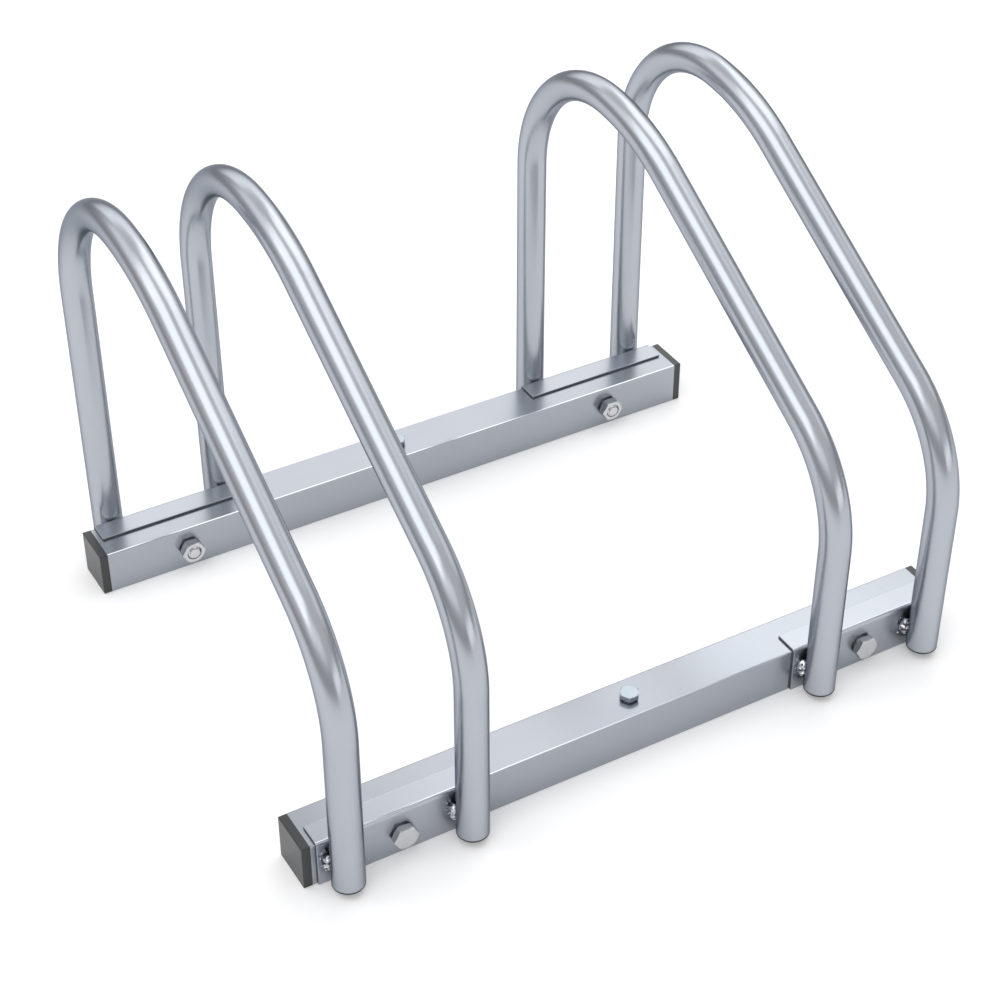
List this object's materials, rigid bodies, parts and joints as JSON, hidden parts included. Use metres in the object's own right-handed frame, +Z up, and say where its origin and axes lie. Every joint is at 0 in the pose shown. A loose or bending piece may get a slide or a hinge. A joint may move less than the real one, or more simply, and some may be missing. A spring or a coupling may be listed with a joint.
{
  "type": "floor bike stand",
  "caption": "Low floor rack for bicycles: square tube base rails joined by bent tube hoops that hold a wheel between each pair, on welded brackets bolted to the rails.",
  "frame": {"origin": "on the floor under the middle of the stand", "axes": "+X along the base rails, +Y from the sloping front of the hoops to their upright rear legs, +Z up"},
  "size_m": [0.411, 0.34, 0.275],
  "materials": {
    "rail_steel": "satin zinc",
    "hoop_steel": "satin zinc",
    "bracket_steel": "satin zinc with bright weld beads",
    "fastener_zinc": "bright zinc",
    "black_plastic": "fine matt grain"
  },
  "bodies": {
    "root": {"front_rail": "rail_steel", "rear_rail": "rail_steel", "front_left_rail_cap": "black_plastic", "front_right_rail_cap": "black_plastic", "rear_left_rail_cap": "black_plastic", "rear_right_rail_cap": "black_plastic", "left_outer_hoop": "hoop_steel", "left_inner_hoop": "hoop_steel", "right_inner_hoop": "hoop_steel", "right_outer_hoop": "hoop_steel", "front_left_bracket": "bracket_steel", "front_right_bracket": "bracket_steel", "rear_left_bracket": "bracket_steel", "rear_right_bracket": "bracket_steel", "bracket_bolts": "fastener_zinc", "bracket_nuts": "fastener_zinc", "ground_screws": "fastener_zinc", "left_outer_front_plug": "black_plastic", "left_inner_front_plug": "black_plastic", "right_inner_front_plug": "black_plastic", "right_outer_front_plug": "black_plastic", "left_outer_rear_plug": "black_plastic", "left_inner_rear_plug": "black_plastic", "right_inner_rear_plug": "black_plastic", "right_outer_rear_plug": "black_plastic"}
  },
  "joints": []
}
